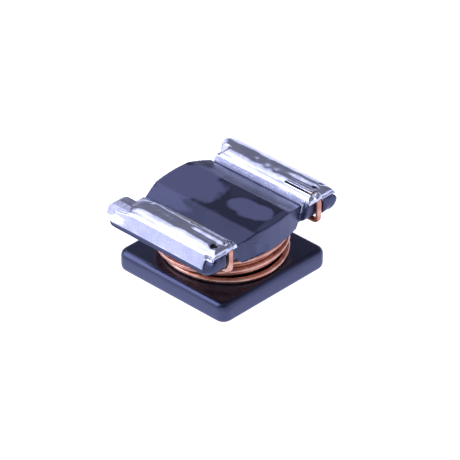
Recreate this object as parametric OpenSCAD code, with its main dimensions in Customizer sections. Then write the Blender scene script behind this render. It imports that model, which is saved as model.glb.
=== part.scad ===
// Wire-wound chip inductor, terminal side up: a pressed ferrite drum core on a square
// flange, one copper wire wound on its round post, and two soldered terminals.
// Millimetres. The origin is the centre of the square flange's underside, +Z is up,
// +X runs from the front terminal to the back one, and both wire ends are on the -Y side.

/* [Flange] */
// Side of the square lower flange
flange_w = 2.54; // [2.4:0.02:2.8]
// Thickness of the lower flange
flange_t = 0.4; // [0.3:0.02:0.44]
// Radius of the flange's upright corners
flange_corner_r = 0.18; // [0.1:0.01:0.25]
// Bevel along the flange's edges
flange_edge = 0.09; // [0.03:0.005:0.12]

/* [Winding] */
// Diameter of the copper wire
wire_d = 0.1; // [0.08:0.005:0.105]
// Outer diameter of the winding
coil_d = 2.32; // [2.2:0.02:2.4]
// Height of the space between the two flanges
window_h = 0.55; // [0.5:0.01:0.65]
// Air left between wires that lie side by side
wire_gap = 0.006; // [0.004:0.001:0.01]
// Air left between the wire and the core
core_gap = 0.005; // [0.003:0.001:0.01]
// Thickness of a wire end where it is pressed flat on its terminal
pressed_t = 0.045; // [0.04:0.005:0.05]
// Length of wire that lies under the solder
buried_l = 0.62; // [0.3:0.02:0.9]
// Radius of the wire's bends round the end of an ear
bend_r = 0.11; // [0.1:0.005:0.12]
// Distance of both wire ends from the middle line
lead_x = 1.07; // [1.05:0.01:1.1]

/* [Middle block] */
// Thickness of the middle block, from its underside to its flat top
block_t = 0.48; // [0.42:0.01:0.55]
// Half-width of the middle block at its bulge
block_bulge_y = 1.22; // [1.15:0.01:1.25]
// Least half-width of the middle block, where it meets an ear
block_end_y = 1.05; // [1.0:0.01:1.1]
// Distance of each side's bulge from the middle line, one to the front and one to the back
bulge_shift = 0.15; // [0:0.01:0.2]
// Half-length of the flat top
plateau_x = 0.42; // [0.3:0.02:0.5]
// Depth of the valleys beside the ears, below the flat top
valley_depth = 0.12; // [0.06:0.01:0.16]
// Bevel along the underside of the middle block
block_edge = 0.09; // [0.04:0.01:0.1]

/* [Ears] */
// Length of the part over both ears, without their metal
ear_span = 3.18; // [3.1:0.01:3.3]
// Length of one ear along X
ear_l = 0.81; // [0.75:0.01:0.86]
// Thickness of an ear from its underside to its crest
ear_t = 0.42; // [0.38:0.01:0.46]
// Step from the middle block's underside up to the ears' underside
ear_step = 0.1; // [0.1:0.005:0.13]
// Slant of the outer face, from its foot in to the crest
outer_slant = 0.16; // [0.1:0.01:0.24]
// Slant of the inner face, from the valley in to the crest
inner_slant = 0.08; // [0.04:0.01:0.12]
// Length of the inner face's root, from the ear's underside corner to the valley
root_l = 0.09; // [0.06:0.01:0.12]
// Radius of the ears' outer corners, seen from above
ear_corner_r = 0.17; // [0.05:0.01:0.2]
// Radius of the lobes' inner corners beside the wire ends, seen from above
lobe_corner_r = 0.06; // [0.03:0.01:0.1]
// Radius of the lobes' noses on the side away from the wire ends, seen from above and along X
nose_r = 0.19; // [0.15:0.01:0.2]
// Width of the crest's sloping shoulders
shoulder_w = 0.1; // [0.06:0.01:0.12]
// Fall of the crest's shoulders
shoulder_fall = 0.03; // [0.02:0.005:0.05]
// Reach of each ear's root on the side away from the wire ends
root_far = 0.99; // [0.95:0.01:1.04]
// Height of the small bevel along the ears' outer lower edge
foot = 0.08; // [0.04:0.01:0.09]
// Radius of the outer lobes' rounded ends, seen along X
lobe_end_r = 0.19; // [0.1:0.01:0.2]
// Radius of the rounded ends inside the lobes, where the wire passes
root_end_r = 0.13; // [0.12:0.01:0.16]
// Depth of the rebate for the wire in each ear's end
rebate_depth = 0.1; // [0.08:0.005:0.12]
// Width of the rebate outside the wire's middle
rebate_w = 0.1; // [0.08:0.01:0.14]

/* [Metal] */
// Thickness of the electrode on the ferrite
electrode_t = 0.015; // [0.01:0.005:0.02]
// Width of ferrite left bare at the slanted faces' ends beside the wire
bare_end = 0.2; // [0.14:0.01:0.24]
// Width of ferrite left bare at the crest's end beside the wire
bare_crest = 0.04; // [0.03:0.01:0.08]
// Depth over which the crest's metal drapes down its end beside the wire
drape = 0.1; // [0.06:0.01:0.12]
// Height of ferrite left bare below the electrode's outer edge
bare_foot = 0.07; // [0.06:0.01:0.14]
// Thickness of the solder on the crest
solder_t = 0.065; // [0.06:0.005:0.08]
// Thickness of the solder on the slanted faces
solder_side = 0.02; // [0.015:0.005:0.03]
// Radius of the solder's rounded edges
solder_round = 0.03; // [0.02:0.005:0.04]
// Radius of the solder bead over each wire's upper bend
bead_r = 0.095; // [0.085:0.005:0.1]

/* [Hidden] */

ferrite = [0.27, 0.27, 0.38];
copper = [0.82, 0.53, 0.42];
silver = [0.72, 0.72, 0.76];
tin = [0.88, 0.88, 0.93];

// Heights
block_z = flange_t + window_h;
plateau_z = block_z + block_t;
valley_z = plateau_z - valley_depth;
ear_z = block_z + ear_step;
crest_z = ear_z + ear_t;
terminal_z = crest_z + electrode_t + solder_t;

// Thickness of the metal on the slanted faces
metal_side = electrode_t + solder_side;

// Places along X, measured out from the middle line
ear_out = ear_span / 2;
ear_in = ear_out - ear_l;
valley_x = ear_in + root_l;
crest_in = valley_x + inner_slant;
crest_out = ear_out - outer_slant;
half_w = flange_w / 2;
rebate_y = half_w - rebate_depth;
rebate_x = lead_x + rebate_w;
nose_y = half_w - metal_side;

// The two layers of the winding
wire_r = wire_d / 2;
outer_r = coil_d / 2 - wire_r;
inner_r = outer_r - wire_d - wire_gap;
post_r = inner_r - wire_r - core_gap;
low_z = flange_t + core_gap + wire_r;
high_z = block_z - core_gap - wire_r;
rise = high_z - low_z;
half_turn = 0.5;
inner_turns = floor(rise / (wire_d + wire_gap) - half_turn) + half_turn;
outer_turns = 3;
steps = 30;
sides = 10;

// Height on the outer layer: level at first, then rising quickly and easing off at the top
first_level = 0.25;
rise_turns = 2.5;
rise_ease = 1.4;
function eased(u) = 1 - pow(1 - min(max((u - first_level) / rise_turns, 0), 1), rise_ease);

// Lift towards the height at which the wire ends run under the ears
lead_z = ear_z - core_gap - wire_r;
lift_turns = 0.15;
lift_share = 0.4;
lift = lead_z - high_z;
function lifted(u) = lift * lift_share * pow(max(1 - u / lift_turns, 0), 2);

// A point of a turn: radius, angle and height, with the way out of the coil as its second half
function turn_point(r, a, z) = [[r * cos(a), r * sin(a), z], [cos(a), sin(a), 0], 1];

// The inner layer runs down from the back of the part, and the outer one up to the front
cross_turns = 0.2;
function smooth(t) = t * t * (3 - 2 * t);
inner_steps = inner_turns * steps;
outer_steps = outer_turns * steps;
inner_layer = [for (i = [0 : inner_steps]) let (u = i / steps)
    turn_point(inner_r, 360 * u, high_z - rise * u / inner_turns + lifted(u))];
outer_layer = [for (i = [1 : outer_steps]) let (u = i / steps)
    turn_point(inner_r + (outer_r - inner_r) * smooth(min(u / cross_turns, 1)), 180 + 360 * u,
               low_z + rise * eased(u) + lifted(outer_turns - u))];

// A wire end, from its buried tip to the coil: each point is Y, Z and how round the wire is
end_y = rebate_y + core_gap + wire_r;
top_z = crest_z + electrode_t + core_gap + pressed_t / 2;
bend_steps = 6;
run_steps = 8;
end_run = [
    [-end_y + bend_r + buried_l, top_z, pressed_t / wire_d],
    [-end_y + bend_r + buried_l / 2, top_z, pressed_t / wire_d],
    for (i = [0 : bend_steps]) let (a = 90 * i / bend_steps)
        [-end_y + bend_r - bend_r * sin(a), top_z - bend_r + bend_r * cos(a),
         pressed_t / wire_d + (1 - pressed_t / wire_d) * i / bend_steps],
    for (i = [0 : bend_steps]) let (a = 90 * i / bend_steps)
        [-end_y + bend_r - bend_r * cos(a), lead_z + bend_r - bend_r * sin(a), 1]
];
run_y = end_y - bend_r;
function placed(run, x, out) = [for (p = run) [[x, p[0], p[1]], [out, 0, 0], p[2]]];
function reversed(list) = [for (i = [len(list) - 1 : -1 : 0]) list[i]];

// From the wire end to the layer's start: straight under the ear, easing over to the coil
function under_run(r, out) = [for (i = [1 : run_steps - 1]) let (t = i / run_steps)
    [[out * (lead_x + (r - lead_x) * smooth(t)), -run_y * (1 - t),
      lead_z - lift * (1 - lift_share) * pow(t, 3)], [out, 0, 0], 1]];

back_end = concat(placed(end_run, lead_x, 1), under_run(inner_r, 1));
front_end = concat(placed(end_run, -lead_x, -1), under_run(outer_r, -1));
wire_path = concat(back_end, inner_layer, outer_layer, reversed(front_end));

// Rings round the wire: one axis points out of the coil, the other is square to it
function unit(v) = v / norm(v);
function heading(path, i) =
    unit(path[min(i + 1, len(path) - 1)][0] - path[max(i - 1, 0)][0]);
function ring(path, i) = let (
        out = unit(path[i][1] - (path[i][1] * heading(path, i)) * heading(path, i)),
        across = cross(heading(path, i), out),
        flat = path[i][2])
    [for (k = [0 : sides - 1]) let (a = 360 * (k + 0.5) / sides)
        path[i][0] + wire_r * (cos(a) / flat * out + sin(a) * flat * across)];

module tube(path) {
    last = len(path) - 1;
    points = [for (i = [0 : last]) each ring(path, i)];
    caps = [[for (k = [0 : sides - 1]) k],
            [for (k = [sides - 1 : -1 : 0]) last * sides + k]];
    walls = [for (i = [0 : last - 1]) for (k = [0 : sides - 1]) each [
        [i * sides + k, (i + 1) * sides + k, i * sides + (k + 1) % sides],
        [(i + 1) * sides + k, (i + 1) * sides + (k + 1) % sides, i * sides + (k + 1) % sides]]];
    polyhedron(points, concat(caps, walls), convexity = 10);
}

module rounded_square(w, r) {
    for (x = [-1, 1], y = [-1, 1]) translate([x * (w / 2 - r), y * (w / 2 - r)]) circle(r, $fn = 32);
    square([w - 2 * r, w], center = true);
    square([w, w - 2 * r], center = true);
}

module flange() {
    hull() {
        translate([0, 0, flange_edge])
            linear_extrude(flange_t - 2 * flange_edge) rounded_square(flange_w, flange_corner_r);
        linear_extrude(flange_t) rounded_square(flange_w - 2 * flange_edge, flange_corner_r);
    }
}

// Extrudes a section drawn in X and Z along Y, over a half-width on each side
module along_y(half) {
    translate([0, half, 0]) rotate([90, 0, 0]) linear_extrude(2 * half) children();
}

// Extrudes a section drawn in Y and Z along X, from one place to another
module along_x(from, to) {
    translate([from, 0, 0]) rotate([90, 0, 90]) linear_extrude(to - from) children();
}

module block_section() {
    polygon([
        [-ear_in + block_edge, block_z], [ear_in - block_edge, block_z], [ear_in, block_z + block_edge],
        [valley_x, ear_z], [valley_x, valley_z], [plateau_x, plateau_z],
        [-plateau_x, plateau_z], [-valley_x, valley_z], [-valley_x, ear_z], [-ear_in, block_z + block_edge]
    ]);
}

// The middle block bulges between the ears: two long arcs, seen from above
bulge = block_bulge_y - block_end_y;
bulge_reach = ear_in + bulge_shift;
bulge_r = (bulge_reach * bulge_reach + bulge * bulge) / (2 * bulge);

module middle_block() {
    intersection() {
        along_y(block_bulge_y) block_section();
        translate([0, 0, block_z]) linear_extrude(block_t) intersection() {
            translate([-bulge_shift, bulge_r - block_bulge_y]) circle(bulge_r, $fn = 160);
            translate([bulge_shift, block_bulge_y - bulge_r]) circle(bulge_r, $fn = 160);
        }
    }
}

// Section of one ear in X and Z; grow moves its outline outwards
module ear_section(grow = 0) {
    offset(delta = grow) polygon([
        [ear_in, ear_z], [ear_out - foot, ear_z], [ear_out, ear_z + foot],
        [crest_out, crest_z - shoulder_fall], [crest_out - shoulder_w, crest_z],
        [crest_in + shoulder_w, crest_z], [crest_in, crest_z - shoulder_fall], [valley_x, valley_z]
    ]);
}

// End view of an ear in Y and Z: its reach on the wire ends' side with the radius of the corners
// there, and its reach on the other side, where the corners have the nose's radius
module end_section(near, r, far, top) {
    hull() for (z = [0, 1]) {
        translate([r - near, z == 0 ? ear_z + r : top - r]) circle(r, $fn = 48);
        translate([far - nose_r, z == 0 ? ear_z + nose_r : top - nose_r]) circle(nose_r, $fn = 48);
    }
}

// Both lengths of an ear: the root that the wire passes, and the lobe outside it
module ear_ends(top, grow = 0) {
    along_x(0, rebate_x - grow) end_section(rebate_y + grow, root_end_r, root_far + grow, top);
    along_x(rebate_x - grow, ear_out + grow) end_section(half_w + grow, lobe_end_r, nose_y + grow, top);
}

module corner(x, y, r) {
    translate([x, y]) circle(r, $fn = 32);
}

// Plan of an ear: the lobe across the whole width, with a round nose, and the root inside it
module ear_plan(grow = 0) {
    translate([0, -rebate_y - grow])
        square([rebate_x + lobe_corner_r, rebate_y + root_far + 2 * grow]);
    hull() {
        corner(ear_out - ear_corner_r, ear_corner_r - half_w, ear_corner_r + grow);
        corner(rebate_x + lobe_corner_r, lobe_corner_r - half_w, lobe_corner_r + grow);
        corner(ear_out - nose_r, nose_y - nose_r, nose_r + grow);
        corner(rebate_x + nose_r, nose_y - nose_r, nose_r + grow);
    }
}

// One ear on the +X side: the full-width lobe outside, and the narrower root that the wire passes
module ear(grow = 0) {
    intersection() {
        along_y(half_w + grow) ear_section(grow);
        linear_extrude(terminal_z) ear_plan(grow);
        ear_ends(crest_z + grow, grow);
    }
}

module ferrite_core() {
    color(ferrite) {
        flange();
        translate([0, 0, flange_t / 2]) cylinder(r = post_r, h = block_z - flange_t / 2 + block_t / 2, $fn = 96);
        middle_block();
        for (side = [0, 1]) mirror([side, 0, 0]) ear();
    }
}

module winding() {
    color(copper) tube(wire_path);
}

// The metal covers the crest, both slanted faces and the noses, and drapes over the crest's other end
module metal_zone() {
    foot_z = ear_z + foot + bare_foot;
    drape_z = crest_z - drape;
    along_x(ear_in, ear_out + metal_side) polygon([
        [bare_end - half_w, foot_z], [half_w, foot_z], [half_w, terminal_z],
        [bare_crest - half_w, terminal_z], [bare_crest - half_w, drape_z], [bare_end - half_w, drape_z]
    ]);
}

module electrode() {
    difference() {
        intersection() {
            ear(electrode_t);
            metal_zone();
        }
        ear();
        middle_block();
    }
}

// The solder lies thick on the crest, and thins out down the slanted faces
module solder_section() {
    offset(r = solder_round, $fn = 24) offset(delta = -solder_round) union() {
        ear_section(metal_side);
        polygon([
            [valley_x - metal_side, valley_z], [ear_out + metal_side, ear_z + foot],
            [crest_out + metal_side, terminal_z - shoulder_fall], [crest_out - shoulder_w, terminal_z],
            [crest_in + shoulder_w, terminal_z], [crest_in - metal_side, terminal_z - shoulder_fall]
        ]);
    }
}

module solder() {
    difference() {
        union() {
            intersection() {
                along_y(half_w) solder_section();
                linear_extrude(terminal_z) ear_plan(metal_side);
                ear_ends(terminal_z, metal_side);
                metal_zone();
            }
            translate([lead_x, bead_r / 2 - end_y, terminal_z - bead_r]) sphere(bead_r, $fn = 48);
        }
        ear(electrode_t);
        middle_block();
        tube(placed(end_run, lead_x, 1));
    }
}

module front_electrode() {
    color(silver) mirror([1, 0, 0]) electrode();
}

module back_electrode() {
    color(silver) electrode();
}

module front_solder() {
    color(tin) mirror([1, 0, 0]) solder();
}

module back_solder() {
    color(tin) solder();
}

ferrite_core();
winding();
front_electrode();
back_electrode();
front_solder();
back_solder();
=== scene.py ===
"""Wire-wound chip inductor, terminal side up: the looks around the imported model.

Everything is modelled in millimetres and set into the frame in metres. The ferrite spool, the copper
wire and the two solder terminals are rebuilt with soft edges; the silver electrodes stay as packed.
"""

import math

import bmesh
import bpy
from mathutils import Matrix, Vector, noise


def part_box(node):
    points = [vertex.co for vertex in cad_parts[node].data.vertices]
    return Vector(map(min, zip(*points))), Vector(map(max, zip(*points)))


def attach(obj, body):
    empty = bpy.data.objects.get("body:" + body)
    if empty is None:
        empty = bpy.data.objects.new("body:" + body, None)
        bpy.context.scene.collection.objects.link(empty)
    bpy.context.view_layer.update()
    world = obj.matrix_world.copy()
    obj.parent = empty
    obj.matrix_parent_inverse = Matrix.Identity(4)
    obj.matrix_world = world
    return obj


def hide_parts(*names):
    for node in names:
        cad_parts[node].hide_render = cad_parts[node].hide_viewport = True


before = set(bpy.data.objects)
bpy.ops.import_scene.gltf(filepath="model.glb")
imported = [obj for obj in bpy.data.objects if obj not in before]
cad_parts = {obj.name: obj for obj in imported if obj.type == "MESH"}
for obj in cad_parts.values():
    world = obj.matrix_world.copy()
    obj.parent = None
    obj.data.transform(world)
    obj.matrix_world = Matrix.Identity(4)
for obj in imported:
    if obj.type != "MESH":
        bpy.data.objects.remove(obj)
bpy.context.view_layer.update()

MM = 0.001


def box_mm(node):
    low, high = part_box(node)
    return low / MM, high / MM


# ------------------------------------------------------------ sizes, in millimetres
core_high = box_mm("ferrite_core")[1]

HALF_W = core_high.y                    # half the flange's side
EAR_OUT = core_high.x                   # reach of an ear along X
CREST_Z = core_high.z                   # top of the ears' ferrite
TERMINAL_Z = box_mm("back_solder")[1].z

FLANGE_T = 0.40
FLANGE_CORNER = 0.19                    # radius of the flange's upright corners
FLANGE_EDGE = 0.11                      # reach of the soft edge round its top and underside
BLOCK_Z = 0.95                          # underside of the middle block
EAR_Z = 1.05                            # underside of the ears
REBATE_X = 1.17                         # outside it the ears reach their full width
ROOT_Y = HALF_W - 0.10                  # near end of an ear's root, where the wire passes

CORE_GAP = 0.005                        # air between the wire and the spool
WIRE_R = 0.05
OUTER_R = 1.11                          # middle line of the outer layer of turns
INNER_R = 1.004
POST_R = 0.949
LEAD_X = 1.07                           # distance of both wire ends from the middle line


def smooth(t):
    t = min(max(t, 0.0), 1.0)
    return t * t * (3 - 2 * t)


def mix(a, b, t):
    return a + (b - a) * t


# ------------------------------------------------------------ mesh helpers
def piece(name, bm, material, replaces=(), level=0):
    """Sets a bmesh made in millimetres into the frame and rides it on the part's body."""
    bmesh.ops.scale(bm, vec=Vector((MM, MM, MM)), verts=bm.verts)
    mesh = bpy.data.meshes.new(name)
    bm.to_mesh(mesh)
    bm.free()
    mesh.shade_smooth()
    made = bpy.data.objects.new(name, mesh)
    bpy.context.scene.collection.objects.link(made)
    mesh.materials.append(material)
    if level:
        soft = made.modifiers.new("soft", "SUBSURF")
        soft.levels = level
        soft.render_levels = level
    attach(made, "root")
    if replaces:
        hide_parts(*replaces)
    return made


# ------------------------------------------------------------ ferrite spool
def soft_copy(node, voxel, rounds, cut_z=None):
    """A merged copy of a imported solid, in millimetres, rebuilt as an even mesh and eased at its edges."""
    bm = bmesh.new()
    bm.from_mesh(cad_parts[node].data)
    bmesh.ops.scale(bm, vec=Vector((1 / MM, 1 / MM, 1 / MM)), verts=bm.verts)
    bmesh.ops.remove_doubles(bm, verts=bm.verts, dist=1e-4)
    if cut_z is not None:
        cut = bmesh.ops.bisect_plane(bm, geom=bm.verts[:] + bm.edges[:] + bm.faces[:], plane_co=(0, 0, cut_z),
                                     plane_no=(0, 0, -1), clear_outer=True)["geom_cut"]
        bmesh.ops.holes_fill(bm, edges=[e for e in cut if isinstance(e, bmesh.types.BMEdge)], sides=0)
    mesh = bpy.data.meshes.new("rough")
    bm.to_mesh(mesh)
    bm.free()
    rough = bpy.data.objects.new("rough", mesh)
    bpy.context.scene.collection.objects.link(rough)
    even = rough.modifiers.new("even", "REMESH")
    even.mode = "VOXEL"
    even.voxel_size = voxel
    done = bpy.data.meshes.new_from_object(rough.evaluated_get(bpy.context.evaluated_depsgraph_get()))
    bpy.data.objects.remove(rough)
    bm = bmesh.new()
    bm.from_mesh(done)
    ease(bm, bm.verts, rounds)
    bm.normal_update()
    return bm


def ease(bm, verts, rounds):
    for _ in range(rounds):
        bmesh.ops.smooth_vert(bm, verts=verts, factor=0.5, use_axis_x=True, use_axis_y=True, use_axis_z=True)


def rounded_plate(bm, w, low, high, corner, edge):
    """A square plate with round upright corners and a soft edge all round."""
    size = Matrix.Diagonal((w, w, high - low, 1))
    made = bmesh.ops.create_cube(bm, size=1, matrix=Matrix.Translation((0, 0, (low + high) / 2)) @ size)
    edges = list({e for v in made["verts"] for e in v.link_edges})
    upright = [e for e in edges if abs(e.verts[0].co.z - e.verts[1].co.z) > (high - low) / 2]
    bmesh.ops.bevel(bm, geom=upright, offset=corner, offset_type="OFFSET", segments=8, profile=0.5,
                    affect="EDGES", material=-1)
    rim = [e for e in bm.edges if e.is_manifold
           and abs(e.verts[0].co.z - e.verts[1].co.z) < 1e-6
           and len({round(f.normal.z) for f in e.link_faces}) == 2]
    bmesh.ops.bevel(bm, geom=rim, offset=edge, offset_type="OFFSET", segments=6, profile=0.5,
                    affect="EDGES", material=-1)


def make_flange(material):
    bm = bmesh.new()
    rounded_plate(bm, 2 * HALF_W, 0.0, FLANGE_T, FLANGE_CORNER, FLANGE_EDGE)
    bmesh.ops.create_cone(bm, cap_ends=True, segments=96, radius1=POST_R, radius2=POST_R,
                          depth=BLOCK_Z - FLANGE_T / 2,
                          matrix=Matrix.Translation((0, 0, (BLOCK_Z + FLANGE_T) / 2)))
    made = piece("ferrite_flange", bm, material, ["ferrite_core"])
    crisp = made.modifiers.new("crisp", "WEIGHTED_NORMAL")
    crisp.keep_sharp = True
    return made


def bell(distance, reach):
    return math.exp(-(distance / reach) ** 2)


# The crease in the near wall: its height, its slope towards the front ear, and the step below it
CREASE_Z = 1.13
CREASE_SLOPE = 0.42
RECESS_DEPTH = 0.03
BLOCK_REACH = 0.85                      # half-length of the near wall


def recess(x, z):
    """How deep the near wall steps back below its slanting crease, towards the front ear."""
    crease = CREASE_Z + CREASE_SLOPE * max(-0.15 - x, 0.0)
    below = smooth((crease - z) / RECESS_DEPTH)
    return RECESS_DEPTH * below * smooth((-0.10 - x) / 0.15) * smooth((x + 0.83) / 0.06)


# Middle and half-size of a lobe's section, and the length over which its end turns round
LOBE = Vector(((REBATE_X + EAR_OUT) / 2, 0, (EAR_Z + TERMINAL_Z) / 2))
LOBE_HALF = Vector((EAR_OUT - REBATE_X, 0, TERMINAL_Z - EAR_Z)) / 2
LOBE_SKIN = 0.03                        # the solder on a lobe's inner side
NOSE_REACH = 0.25


def rounded_lobe(place):
    """Turns a lobe's boxy section into a round one at its far nose, and its outer half at its near end."""
    along = (abs(place.y) - HALF_W + NOSE_REACH) / NOSE_REACH
    if abs(place.x) < REBATE_X - LOBE_SKIN or along <= 0:
        return place
    across = (abs(place.x) - LOBE.x) / LOBE_HALF.x
    high = (place.z - LOBE.z) / LOBE_HALF.z
    share = smooth(along * 1.4)
    if place.y < 0:
        share *= smooth(across + 1)
    share *= 1 - max(abs(across), abs(high)) / max(math.hypot(across, high), 1e-6)
    return Vector((math.copysign(LOBE.x + across * (1 - share) * LOBE_HALF.x, place.x), place.y,
                   LOBE.z + high * (1 - share) * LOBE_HALF.z))


# How far the front ear's far nose hangs down, and where along the ear and up it that sets in
DROOP = 0.10
DROOP_Y = 0.55
DROOP_Z = 1.15
FRONT_EAR_X = -0.8                      # inner side of the front ear


def droop(place):
    """How much lower a point of the front ear's far nose lies than on the back ear."""
    if place.x > FRONT_EAR_X:
        return 0.0
    return DROOP * smooth((place.y - DROOP_Y) / 0.6) * smooth((place.z - DROOP_Z) / 0.3)


HEAD_VOXEL = 0.018
HEAD_CUT_Z = 0.7                        # the spool is parted here, inside the winding
PRESSED_WAVE = 0.003                    # unevenness of the pressed ferrite


def make_head(material):
    bm = soft_copy("ferrite_core", HEAD_VOXEL, 3, cut_z=HEAD_CUT_Z)
    for v in bm.verts:
        x, y, z = v.co
        if v.normal.y < -0.5 and abs(x) < BLOCK_REACH:
            v.co.y += recess(x, z)
        v.co = rounded_lobe(v.co)
        v.co.z -= droop(v.co)
        v.co += v.normal * PRESSED_WAVE * noise.noise(v.co * 3.1)
    return piece("ferrite_head", bm, material, ["ferrite_core"])


# ------------------------------------------------------------ copper wire
WIRE_OFF = CORE_GAP + WIRE_R            # from the spool's surface to the wire's middle line
LOW_Z = FLANGE_T + WIRE_OFF
HIGH_Z = BLOCK_Z - WIRE_OFF
RISE = HIGH_Z - LOW_Z
INNER_TURNS = 3.5
OUTER_TURNS = 3
TURN_STEPS = 60
CROSS_TURNS = 0.2                       # turns over which the wire steps out to the outer layer
FIRST_LEVEL = 0.25                      # turns of the outer layer before it rises
RISE_TURNS = 2.5
RISE_EASE = 1.4
LEAD_Z = EAR_Z - WIRE_OFF
LEAD_LIFT = LEAD_Z - HIGH_Z
LIFT_TURNS = 0.15
LIFT_SHARE = 0.4                        # share of the lift that the turns take up
END_Y = ROOT_Y + WIRE_OFF
PRESSED = 0.35                          # how flat a wire end is pressed
TOP_Z = CREST_Z + 0.018
BEND_R = 0.11
BURIED_L = 0.3


def eased(u):
    """Height on the outer layer: level at first, then rising quickly and easing off at the top."""
    return 1 - (1 - min(max((u - FIRST_LEVEL) / RISE_TURNS, 0), 1)) ** RISE_EASE


def lifted(u):
    """Lift of the turns towards the height at which the wire ends run under the ears."""
    return LEAD_LIFT * LIFT_SHARE * max(1 - u / LIFT_TURNS, 0) ** 2


def turn(r, turns, z):
    a = 2 * math.pi * turns
    return Vector((r * math.cos(a), r * math.sin(a), z))


def wire_end(side, r):
    """From the flat tip under the solder, down round the ear's end and in under the ear."""
    points = [(Vector((side * LEAD_X, BURIED_L - END_Y + BEND_R, TOP_Z)), PRESSED),
              (Vector((side * LEAD_X, BURIED_L / 2 - END_Y + BEND_R, TOP_Z)), PRESSED)]
    steps = 10
    for i in range(steps + 1):
        a = math.pi / 2 * i / steps
        points.append((Vector((side * LEAD_X, -END_Y + BEND_R * (1 - math.sin(a)),
                               TOP_Z - BEND_R * (1 - math.cos(a)))), mix(PRESSED, 1, i / steps)))
    for i in range(steps + 1):
        a = math.pi / 2 * i / steps
        points.append((Vector((side * LEAD_X, -END_Y + BEND_R * (1 - math.cos(a)),
                               LEAD_Z + BEND_R * (1 - math.sin(a)))), 1))
    run = 16
    for i in range(1, run):
        t = i / run
        x = side * mix(LEAD_X, r, smooth(t))
        z = LEAD_Z - LEAD_LIFT * (1 - LIFT_SHARE) * t ** 3
        points.append((Vector((x, -(END_Y - BEND_R) * (1 - t), z)), 1))
    return points


def make_winding(material):
    inner = [(turn(INNER_R, i / TURN_STEPS, HIGH_Z - RISE * i / TURN_STEPS / INNER_TURNS
                   + lifted(i / TURN_STEPS)), 1) for i in range(int(INNER_TURNS * TURN_STEPS) + 1)]
    outer = []
    for i in range(1, OUTER_TURNS * TURN_STEPS + 1):
        u = i / TURN_STEPS
        r = mix(INNER_R, OUTER_R, smooth(u / CROSS_TURNS))
        outer.append((turn(r, 0.5 + u, LOW_Z + RISE * eased(u) + lifted(OUTER_TURNS - u)), 1))
    path = wire_end(1, INNER_R) + inner + outer + wire_end(-1, OUTER_R)[::-1]
    curve = bpy.data.curves.new("wire_path", "CURVE")
    curve.dimensions = "3D"
    curve.bevel_depth = WIRE_R
    curve.bevel_resolution = 5
    curve.use_fill_caps = True
    curve.twist_mode = "MINIMUM"
    spline = curve.splines.new("POLY")
    spline.points.add(len(path) - 1)
    for point, (place, size) in zip(spline.points, path):
        point.co = (*place, 1)
        point.radius = size
    drawn = bpy.data.objects.new("wire_path", curve)
    bpy.context.scene.collection.objects.link(drawn)
    mesh = bpy.data.meshes.new_from_object(drawn)
    bpy.data.objects.remove(drawn)
    bm = bmesh.new()
    bm.from_mesh(mesh)
    bmesh.ops.remove_doubles(bm, verts=bm.verts, dist=1e-4)
    bmesh.ops.recalc_face_normals(bm, faces=bm.faces)
    return piece("copper_wire", bm, material, ["winding"])


# ------------------------------------------------------------ solder terminals
def swelling(place, seed):
    """Slow unevenness of the frozen solder, from about -1 to 1."""
    spot = Vector((place.x * 3.4 + seed, place.y * 2.2, seed))
    return noise.noise(spot) * 1.1 + noise.noise(spot * 2.4) * 0.5


# Dents in each terminal: place along X and Y, reach and depth
FRONT_DENTS = [(-1.28, -1.05, 0.070, 0.030), (-0.985, -1.13, 0.035, 0.022), (-1.30, 0.90, 0.05, 0.012),
               (-1.04, 0.60, 0.04, 0.014), (-0.98, -0.30, 0.05, 0.014)]
BACK_DENTS = [(1.20, -1.00, 0.05, 0.020), (1.04, -1.10, 0.04, 0.018), (1.34, -1.02, 0.05, 0.020),
              (1.15, 0.30, 0.05, 0.010), (1.10, 0.02, 0.05, 0.010), (1.12, -0.18, 0.05, 0.010)]
# Centre and reach of the hard flux crust
FLUX_PATCH = ((-0.955, -0.18, 1.50), (0.06, 0.31, 0.2))

SOLDER_VOXEL = 0.014
SOLDER_ROUNDS = 5
TOP_ROUNDS = 4                          # further rounds for the solder's top
CROWN_X = 1.19                          # middle of a terminal's crown
CROWN_FLAT = 0.08                       # half-width of its flat middle
CROWN_FALL = 1.2                        # how quickly it falls off beside that
SWELL = 0.009                           # half-height of the slow unevenness
TROUGH = 0.014                          # depth of the troughs along the wire
TROUGH_OFF = 0.10                       # from the wire's middle to a trough
LEAST_FALL = 0.003
MOST_FALL = 0.042


def solder_fall(place, seed, dents):
    """How far the solder's top lies below its highest level at one place."""
    x = abs(place.x)
    near = smooth((-0.30 - place.y) / 0.25)
    fall = SWELL * (1 - swelling(place, seed)) * (1 - 0.7 * near * bell(x - LEAD_X, 0.08))
    fall += TROUGH * near * bell(abs(x - LEAD_X) - TROUGH_OFF, 0.05)
    fall += sum(depth * bell((place.xy - Vector((dent_x, dent_y))).length, reach)
                for dent_x, dent_y, reach, depth in dents)
    return fall + LEAST_FALL + CROWN_FALL * max(abs(x - CROWN_X) - CROWN_FLAT, 0) ** 2


def make_solder(name, node, material, seed, dents):
    bm = soft_copy(node, SOLDER_VOXEL, SOLDER_ROUNDS)
    for v in bm.verts:
        top = smooth((v.normal.z - 0.15) / 0.4) * smooth((v.co.z - CREST_Z + 0.02) / 0.04)
        v.co.z -= top * min(solder_fall(v.co, seed, dents), MOST_FALL)
        v.co = rounded_lobe(v.co)
        v.co.z -= droop(v.co)
    ease(bm, [v for v in bm.verts if v.co.z > CREST_Z - 0.06 and v.normal.z > -0.2], TOP_ROUNDS)
    return piece(name, bm, material, [node])


RING_R = 0.032                          # middle line of the ring
RING_THICK = 0.013                      # radius of its section
RING_PLACE = (0.895, -1.115, 1.41)
RING_FACES = (-0.45, -0.55, 0.70)       # the way the ring looks


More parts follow.
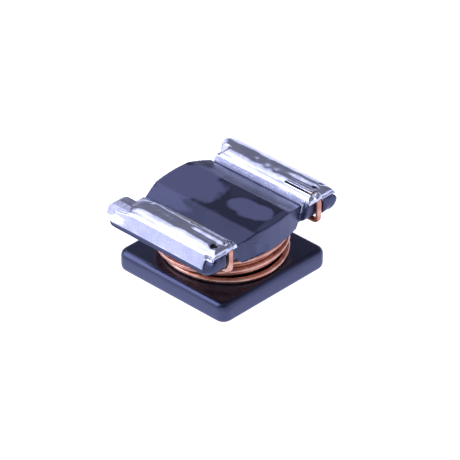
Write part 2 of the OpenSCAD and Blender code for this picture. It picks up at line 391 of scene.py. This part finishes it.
def add_ring(material):
    """The small ring of solder round a pinhole, where the back ear meets the middle block."""
    bm = bmesh.new()
    upright = Matrix.Translation((RING_R, 0, 0)) @ Matrix.Rotation(math.pi / 2, 4, "X")
    bmesh.ops.create_circle(bm, segments=20, radius=RING_THICK, cap_ends=False, matrix=upright)
    bmesh.ops.spin(bm, geom=bm.verts[:] + bm.edges[:], cent=(0, 0, 0), axis=(0, 0, 1), angle=2 * math.pi,
                   steps=40, use_merge=True, use_duplicate=False)
    bmesh.ops.remove_doubles(bm, verts=bm.verts, dist=1e-4)
    bmesh.ops.recalc_face_normals(bm, faces=bm.faces)
    tilt = Vector(RING_FACES).to_track_quat("Z", "Y").to_matrix()
    bmesh.ops.rotate(bm, verts=bm.verts, cent=(0, 0, 0), matrix=tilt)
    bmesh.ops.translate(bm, verts=bm.verts, vec=RING_PLACE)
    return piece("back_ring", bm, material, ["back_solder"])


BEAD_R = 0.074
BEAD_STRETCH = (1.1, 0.9, 1.0)
BEAD_LUMPS = 0.12                       # height of a bead's lumps, as a share of its radius


def add_bead(side, name, node, material):
    """The round bead of solder over a wire end's upper bend."""
    bm = bmesh.new()
    bmesh.ops.create_icosphere(bm, subdivisions=4, radius=BEAD_R)
    for v in bm.verts:
        v.co *= 1 + BEAD_LUMPS * noise.noise(v.co * 22 + Vector((side * 3.0, 0, 0)))
    bmesh.ops.scale(bm, vec=BEAD_STRETCH, verts=bm.verts)
    bmesh.ops.translate(bm, vec=(side * LEAD_X, -END_Y + 0.055, CREST_Z - 0.003), verts=bm.verts)
    return piece(name, bm, material, [node])


# ------------------------------------------------------------ shader node helpers
def new_material(name):
    material = bpy.data.materials.new(name)
    material.use_nodes = True
    tree = material.node_tree
    tree.nodes.clear()
    out = tree.nodes.new("ShaderNodeOutputMaterial")
    shader = tree.nodes.new("ShaderNodeBsdfPrincipled")
    tree.links.new(shader.outputs[0], out.inputs["Surface"])
    return material, tree, shader


def node(tree, kind, **values):
    """Adds a node, sets its properties, and sets or links its inputs."""
    made = tree.nodes.new(kind)
    for key, value in values.items():
        if key == "inputs":
            continue
        setattr(made, key, value)
    for key, value in values.get("inputs", {}).items():
        if isinstance(value, bpy.types.NodeSocket):
            tree.links.new(value, made.inputs[key])
        else:
            made.inputs[key].default_value = value
    return made


def group_tree(name, inputs, outputs):
    """A shader node group with named inputs, given as name to (kind, default), and named outputs."""
    tree = bpy.data.node_groups.new(name, "ShaderNodeTree")
    for label, (kind, default) in inputs.items():
        socket = tree.interface.new_socket(label, in_out="INPUT", socket_type="NodeSocket" + kind)
        if default is not None:
            socket.default_value = default
    for label, kind in outputs.items():
        tree.interface.new_socket(label, in_out="OUTPUT", socket_type="NodeSocket" + kind)
    return tree, tree.nodes.new("NodeGroupInput"), tree.nodes.new("NodeGroupOutput")


def use_group(tree, group, **inputs):
    made = tree.nodes.new("ShaderNodeGroup")
    made.node_tree = group
    for key, value in inputs.items():
        key = key.replace("_", " ")
        if isinstance(value, bpy.types.NodeSocket):
            tree.links.new(value, made.inputs[key])
        else:
            made.inputs[key].default_value = value
    return made


def make_patches():
    """Soft-edged patches of cloudy noise, as one mask from 0 to 1."""
    tree, given, result = group_tree(
        "patches",
        {"Vector": ("Vector", None), "Scale": ("Float", 1000.0), "Low": ("Float", 0.45),
         "High": ("Float", 0.55), "Detail": ("Float", 2.0)},
        {"Mask": "Float"})
    cloud = node(tree, "ShaderNodeTexNoise", noise_dimensions="3D",
                 inputs={"Vector": given.outputs["Vector"], "Scale": given.outputs["Scale"],
                         "Detail": given.outputs["Detail"], "Roughness": 0.5})
    step = node(tree, "ShaderNodeMapRange", interpolation_type="SMOOTHSTEP",
                inputs={"Value": cloud.outputs["Fac"], "From Min": given.outputs["Low"],
                        "From Max": given.outputs["High"]})
    tree.links.new(step.outputs["Result"], result.inputs["Mask"])
    return tree


def make_spot():
    """One soft-edged spot with a wavering outline: 1 inside its reach, 0 outside."""
    tree, given, result = group_tree(
        "spot",
        {"Vector": ("Vector", None), "Centre": ("Vector", (0, 0, 0)), "Reach": ("Vector", (1, 1, 1)),
         "Waver": ("Float", 0.3), "Waver Scale": ("Float", 3000.0), "Softness": ("Float", 0.3)},
        {"Mask": "Float"})
    offset = node(tree, "ShaderNodeVectorMath", operation="SUBTRACT",
                  inputs={0: given.outputs["Vector"], 1: given.outputs["Centre"]}).outputs[0]
    scaled = node(tree, "ShaderNodeVectorMath", operation="DIVIDE",
                  inputs={0: offset, 1: given.outputs["Reach"]}).outputs[0]
    away = node(tree, "ShaderNodeVectorMath", operation="LENGTH", inputs={0: scaled}).outputs["Value"]
    cloud = node(tree, "ShaderNodeTexNoise", inputs={"Vector": given.outputs["Vector"],
                                                     "Scale": given.outputs["Waver Scale"], "Detail": 2.0})
    centred = node(tree, "ShaderNodeMath", operation="SUBTRACT", inputs={0: cloud.outputs["Fac"], 1: 0.5})
    waver = node(tree, "ShaderNodeMath", operation="MULTIPLY",
                 inputs={0: centred.outputs[0], 1: given.outputs["Waver"]})
    total = node(tree, "ShaderNodeMath", operation="ADD", inputs={0: away, 1: waver.outputs[0]}).outputs[0]
    inside = node(tree, "ShaderNodeMath", operation="SUBTRACT", inputs={0: 1.0, 1: total}).outputs[0]
    step = node(tree, "ShaderNodeMapRange", interpolation_type="SMOOTHSTEP",
                inputs={"Value": inside, "From Min": 0.0, "From Max": given.outputs["Softness"]})
    tree.links.new(step.outputs["Result"], result.inputs["Mask"])
    return tree


PATCHES = make_patches()
SPOT = make_spot()


def spot(tree, place, centre, reach, **values):
    """A spot given in millimetres."""
    return use_group(tree, SPOT, Vector=place, Centre=[v * MM for v in centre], Reach=[v * MM for v in reach],
                     **values).outputs["Mask"]


def either(tree, first, second):
    return node(tree, "ShaderNodeMath", operation="MAXIMUM", inputs={0: first, 1: second}).outputs[0]


def object_place(tree):
    return node(tree, "ShaderNodeTexCoord").outputs["Object"]


def mix_colour(tree, mask, low, high):
    made = node(tree, "ShaderNodeMix", data_type="RGBA", inputs={"Factor": mask})
    for index, value in ((6, low), (7, high)):
        if isinstance(value, bpy.types.NodeSocket):
            tree.links.new(value, made.inputs[index])
        else:
            made.inputs[index].default_value = (*value, 1)
    return made.outputs[2]


def map_range(tree, value, low, high, to_low, to_high):
    return node(tree, "ShaderNodeMapRange", inputs={"Value": value, "From Min": low, "From Max": high,
                                                    "To Min": to_low, "To Max": to_high}).outputs["Result"]


# ------------------------------------------------------------ materials
DARK_FERRITE = (0.0055, 0.0065, 0.0125)
PALE_FERRITE = (0.11, 0.112, 0.17)
# Patches on the ferrite: centre and reach. Pale ones on the flat top; on the flange's sides and the near wall
# fainter ones that are painted light, a paler tone for the light these side faces catch; and the dull valley
# beside the back ear
PALE_SPOTS = [((-0.02, 0.75, 1.43), (0.62, 0.78, 0.3)), ((0.06, -0.62, 1.43), (0.26, 0.52, 0.12)),
              ((-0.62, 0.75, 1.36), (0.18, 0.62, 0.12))]
PAINTED_LIGHT_SPOTS = [((0, 0, 0.1), (2.6, 2.6, 0.27)), ((0.35, -1.15, 1.2), (0.85, 0.14, 0.5))]
DULL_VALLEY = ((0.64, 0, 1.36), (0.24, 1.4, 0.12))


def make_ferrite():
    material, tree, shader = new_material("pressed_ferrite")
    place = object_place(tree)
    cloud = use_group(tree, PATCHES, Vector=place, Scale=1900.0, Low=0.50, High=0.60, Detail=1.0)
    grain = use_group(tree, PATCHES, Vector=place, Scale=26000.0, Low=0.3, High=0.7, Detail=3.0)
    pale = map_range(tree, cloud.outputs["Mask"], 0, 1, 0.0, 0.12)
    for centre, reach in PALE_SPOTS:
        pale = either(tree, pale, spot(tree, place, centre, reach, Waver=1.1, Waver_Scale=2100.0,
                                       Softness=0.22))
    # Painted light: the flange's sides and the near wall are made paler, standing in for the light they catch
    for centre, reach in PAINTED_LIGHT_SPOTS:
        painted_light = spot(tree, place, centre, reach, Waver=0.3, Waver_Scale=2100.0, Softness=0.2)
        pale = either(tree, pale, map_range(tree, painted_light, 0, 1, 0.0, 0.35))
    colour = mix_colour(tree, pale, DARK_FERRITE, PALE_FERRITE)
    tree.links.new(colour, shader.inputs["Base Color"])
    dull = spot(tree, place, *DULL_VALLEY, Waver=0.1, Softness=0.3)
    rough = map_range(tree, either(tree, pale, dull), 0, 1, 0.27, 0.46)
    tree.links.new(rough, shader.inputs["Roughness"])
    shader.inputs["IOR"].default_value = 1.95
    shader.inputs["Specular Tint"].default_value = (0.60, 0.66, 1.0, 1)
    bump = node(tree, "ShaderNodeBump", inputs={"Height": grain.outputs["Mask"], "Strength": 0.12,
                                                "Distance": 0.000004})
    tree.links.new(bump.outputs[0], shader.inputs["Normal"])
    return material


COPPER_DARK = (0.72, 0.30, 0.17)
COPPER_LIGHT = (0.95, 0.52, 0.32)


def make_copper():
    material, tree, shader = new_material("enamelled_copper")
    place = object_place(tree)
    streak = use_group(tree, PATCHES, Vector=place, Scale=5000.0, Low=0.35, High=0.65, Detail=2.0)
    colour = mix_colour(tree, streak.outputs["Mask"], COPPER_DARK, COPPER_LIGHT)
    tree.links.new(colour, shader.inputs["Base Color"])
    shader.inputs["Metallic"].default_value = 0.8
    shader.inputs["Roughness"].default_value = 0.26
    shader.inputs["Coat Weight"].default_value = 0.5
    shader.inputs["Coat Roughness"].default_value = 0.12
    return material


TIN_DARK = (0.70, 0.71, 0.77)
TIN_LIGHT = (0.93, 0.93, 0.96)
# Painted shade: near-black colour for the insides of the solder's dents
PAINTED_PIT_SHADE = (0.035, 0.035, 0.05)
FLUX_STAIN = (0.33, 0.34, 0.16)
FLUX_CRUST = (0.44, 0.42, 0.30)
# The green flux stain by the back wire end, and near-black painted shade inside dents of the terminals:
# centre and reach
STAIN_SPOT = ((1.06, -1.14, 1.53), (0.075, 0.06, 0.06))
PAINTED_PIT_SHADE_SPOTS = [((-1.28, -1.05, 1.50), (0.085, 0.075, 0.1)), ((-0.985, -1.13, 1.48), (0.05, 0.05, 0.1)),
        ((1.20, -1.00, 1.52), (0.05, 0.06, 0.1)), ((1.36, -1.02, 1.50), (0.06, 0.07, 0.1))]


def make_tin():
    material, tree, shader = new_material("reflowed_tin")
    place = object_place(tree)
    cloud = use_group(tree, PATCHES, Vector=place, Scale=4200.0, Low=0.35, High=0.65, Detail=3.0)
    fine = use_group(tree, PATCHES, Vector=place, Scale=15000.0, Low=0.35, High=0.7, Detail=2.0)
    crust = spot(tree, place, *FLUX_PATCH, Waver=0.8, Waver_Scale=9000.0, Softness=0.15)
    stain = spot(tree, place, *STAIN_SPOT, Waver=1.2, Waver_Scale=14000.0, Softness=0.5)
    metal = mix_colour(tree, cloud.outputs["Mask"], TIN_DARK, TIN_LIGHT)
    # Painted shade darkens the solder where its dents are
    for centre, reach in PAINTED_PIT_SHADE_SPOTS:
        pit_shade = spot(tree, place, centre, reach, Waver=1.2, Waver_Scale=12000.0, Softness=0.4)
        metal = mix_colour(tree, pit_shade, metal, PAINTED_PIT_SHADE)
    stained = mix_colour(tree, stain, metal, FLUX_STAIN)
    tree.links.new(mix_colour(tree, crust, stained, FLUX_CRUST), shader.inputs["Base Color"])
    matte = either(tree, crust, stain)
    rough = map_range(tree, cloud.outputs["Mask"], 0, 1, 0.24, 0.12)
    tree.links.new(node(tree, "ShaderNodeMix", data_type="FLOAT",
                        inputs={"Factor": matte, "A": rough, "B": 0.7}).outputs["Result"],
                   shader.inputs["Roughness"])
    tree.links.new(map_range(tree, matte, 0, 1, 1.0, 0.1), shader.inputs["Metallic"])
    low = node(tree, "ShaderNodeBump", inputs={"Height": cloud.outputs["Mask"], "Strength": 0.20,
                                               "Distance": 0.00001})
    bump = node(tree, "ShaderNodeBump", inputs={"Height": fine.outputs["Mask"], "Strength": 0.15,
                                                "Distance": 0.000004, "Normal": low.outputs[0]})
    tree.links.new(bump.outputs[0], shader.inputs["Normal"])
    return material


SILVER_DARK = (0.45, 0.45, 0.50)
SILVER_LIGHT = (0.62, 0.62, 0.66)


def make_silver():
    material, tree, shader = new_material("fired_silver")
    place = object_place(tree)
    fine = use_group(tree, PATCHES, Vector=place, Scale=20000.0, Low=0.3, High=0.7, Detail=3.0)
    colour = mix_colour(tree, fine.outputs["Mask"], SILVER_DARK, SILVER_LIGHT)
    tree.links.new(colour, shader.inputs["Base Color"])
    shader.inputs["Metallic"].default_value = 1.0
    shader.inputs["Roughness"].default_value = 0.4
    return material


# ------------------------------------------------------------ stage, light and camera
LIGHT_TINT = (0.80, 0.84, 1.22)
FLOOR_LIGHT = 0.92                      # how bright the floor is to the part
FLOOR_SEEN = 1.3                        # and to the camera
HORIZON = 0.85
ZENITH = 0.20


def make_floor():
    bm = bmesh.new()
    bmesh.ops.create_grid(bm, x_segments=1, y_segments=1, size=150)
    bmesh.ops.scale(bm, vec=(MM, MM, MM), verts=bm.verts)
    mesh = bpy.data.meshes.new("floor")
    bm.to_mesh(mesh)
    bm.free()
    floor = bpy.data.objects.new("floor", mesh)
    bpy.context.scene.collection.objects.link(floor)
    material, tree, shader = new_material("white_floor")
    shader.inputs["Base Color"].default_value = (0.25, 0.25, 0.25, 1)
    shader.inputs["Roughness"].default_value = 0.9
    shader.inputs["Specular IOR Level"].default_value = 0.0
    seen = node(tree, "ShaderNodeLightPath").outputs["Is Camera Ray"]
    tree.links.new(mix_colour(tree, seen, LIGHT_TINT, (1.0, 1.0, 1.0)), shader.inputs["Emission Color"])
    tree.links.new(map_range(tree, seen, 0, 1, FLOOR_LIGHT, FLOOR_SEEN), shader.inputs["Emission Strength"])
    mesh.materials.append(material)


def world_lobe(tree, direction, way, wide, narrow, strength):
    """Light from around one direction of the sky, fading out from narrow to wide, in degrees."""
    way = Vector(way).normalized()
    dot = node(tree, "ShaderNodeVectorMath", operation="DOT_PRODUCT", inputs={0: direction, 1: tuple(way)})
    return node(tree, "ShaderNodeMapRange", interpolation_type="SMOOTHSTEP",
                inputs={"Value": dot.outputs["Value"], "From Min": math.cos(math.radians(wide)),
                        "From Max": math.cos(math.radians(narrow)), "To Max": strength}).outputs["Result"]


# Soft lights: the direction each comes from, its width at the edge and in the middle in degrees, and
# its strength
LOBES = [((-0.54, 0.58, 0.60), 36, 16, 2.9),
         ((0.12, 0.56, 0.82), 26, 8, 0.9),
         ((0.35, -0.90, 0.15), 50, 10, 0.5)]


def make_light():
    world = bpy.data.worlds.new("studio")
    bpy.context.scene.world = world
    world.use_nodes = True
    tree = world.node_tree
    tree.nodes.clear()
    direction = node(tree, "ShaderNodeTexCoord").outputs["Generated"]
    height = node(tree, "ShaderNodeSeparateXYZ", inputs={"Vector": direction}).outputs["Z"]
    total = node(tree, "ShaderNodeMapRange", interpolation_type="SMOOTHSTEP",
                 inputs={"Value": height, "From Min": 0.0, "From Max": 0.35, "To Min": HORIZON,
                         "To Max": ZENITH}).outputs["Result"]
    for way, wide, narrow, strength in LOBES:
        lobe = world_lobe(tree, direction, way, wide, narrow, strength)
        total = node(tree, "ShaderNodeMath", operation="ADD", inputs={0: total, 1: lobe}).outputs[0]
    light = node(tree, "ShaderNodeBackground", inputs={"Color": (*LIGHT_TINT, 1), "Strength": total})
    white = node(tree, "ShaderNodeBackground", inputs={"Color": (1, 1, 1, 1), "Strength": 1.0})
    path = node(tree, "ShaderNodeLightPath")
    both = node(tree, "ShaderNodeMixShader", inputs={0: path.outputs["Is Camera Ray"]})
    tree.links.new(light.outputs[0], both.inputs[1])
    tree.links.new(white.outputs[0], both.inputs[2])
    out = node(tree, "ShaderNodeOutputWorld")
    tree.links.new(both.outputs[0], out.inputs["Surface"])


def make_camera():
    azimuth, elevation, distance = math.radians(-46.0), math.radians(32.95), 60.0
    back = Vector((math.sin(azimuth) * math.cos(elevation), -math.cos(azimuth) * math.cos(elevation),
                   math.sin(elevation)))
    right = Vector((math.cos(azimuth), math.sin(azimuth), 0))
    up = back.cross(right)
    aim = Vector((0, 0, 0.75)) + right * 0.135 + up * 0.014
    camera = bpy.data.cameras.new("camera")
    camera.lens = 277.4
    camera.sensor_width = 36
    camera.clip_start = 0.001
    camera.clip_end = 10
    made = bpy.data.objects.new("camera", camera)
    bpy.context.scene.collection.objects.link(made)
    turn_to = Matrix((right, up, back)).transposed().to_4x4()
    made.matrix_world = Matrix.Translation((aim + back * distance) * MM) @ turn_to
    bpy.context.scene.camera = made


# ------------------------------------------------------------ the part
ferrite = make_ferrite()
copper = make_copper()
tin = make_tin()
silver = make_silver()

make_flange(ferrite)
make_head(ferrite)
make_winding(copper)
make_solder("front_terminal", "front_solder", tin, 3.7, FRONT_DENTS)
make_solder("back_terminal", "back_solder", tin, 8.2, BACK_DENTS)
add_ring(tin)
add_bead(-1, "front_bead", "front_solder", tin)
add_bead(1, "back_bead", "back_solder", tin)
for name in ("front_electrode", "back_electrode"):
    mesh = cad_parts[name].data
    mesh.materials.clear()
    mesh.materials.append(silver)

make_floor()
make_light()
make_camera()
bpy.context.scene.view_settings.view_transform = "Standard"
